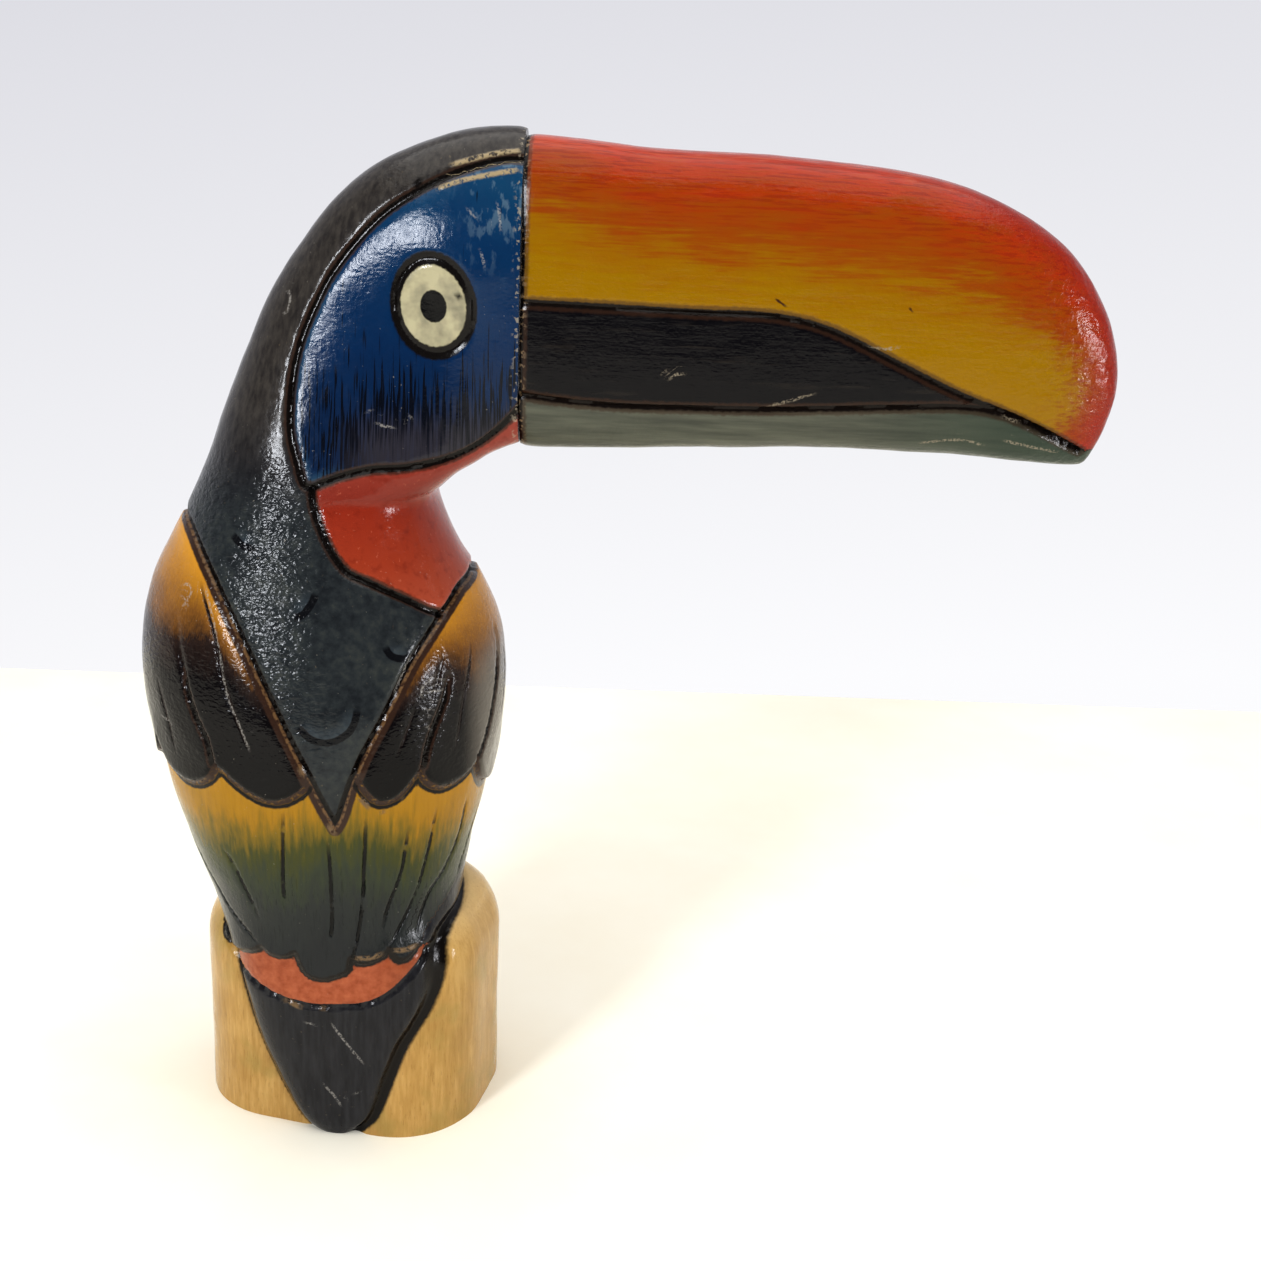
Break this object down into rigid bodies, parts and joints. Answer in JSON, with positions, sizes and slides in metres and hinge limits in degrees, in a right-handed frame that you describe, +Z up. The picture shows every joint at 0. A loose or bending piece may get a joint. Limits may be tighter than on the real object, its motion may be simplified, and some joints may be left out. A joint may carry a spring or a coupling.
{
  "type": "wooden toucan figurine",
  "caption": "Carved and painted wooden toucan on a block perch, looking back over its wing, with a large glued-on wooden bill.",
  "frame": {"origin": "centre of the perch block's flat underside", "axes": "+X along the bill, -Y out of the bird's back, +Z up"},
  "size_m": [0.2342, 0.0813, 0.2497],
  "materials": {
    "painted_wood": "hand-painted in charcoal, blue, red, orange and olive, clear varnished; bare varnished wood on the perch",
    "painted_bill": "hand-painted red to orange to yellow with a black stripe, clear varnished"
  },
  "bodies": {
    "root": {"carved_toucan": "painted_wood", "bill": "painted_bill"}
  },
  "joints": []
}
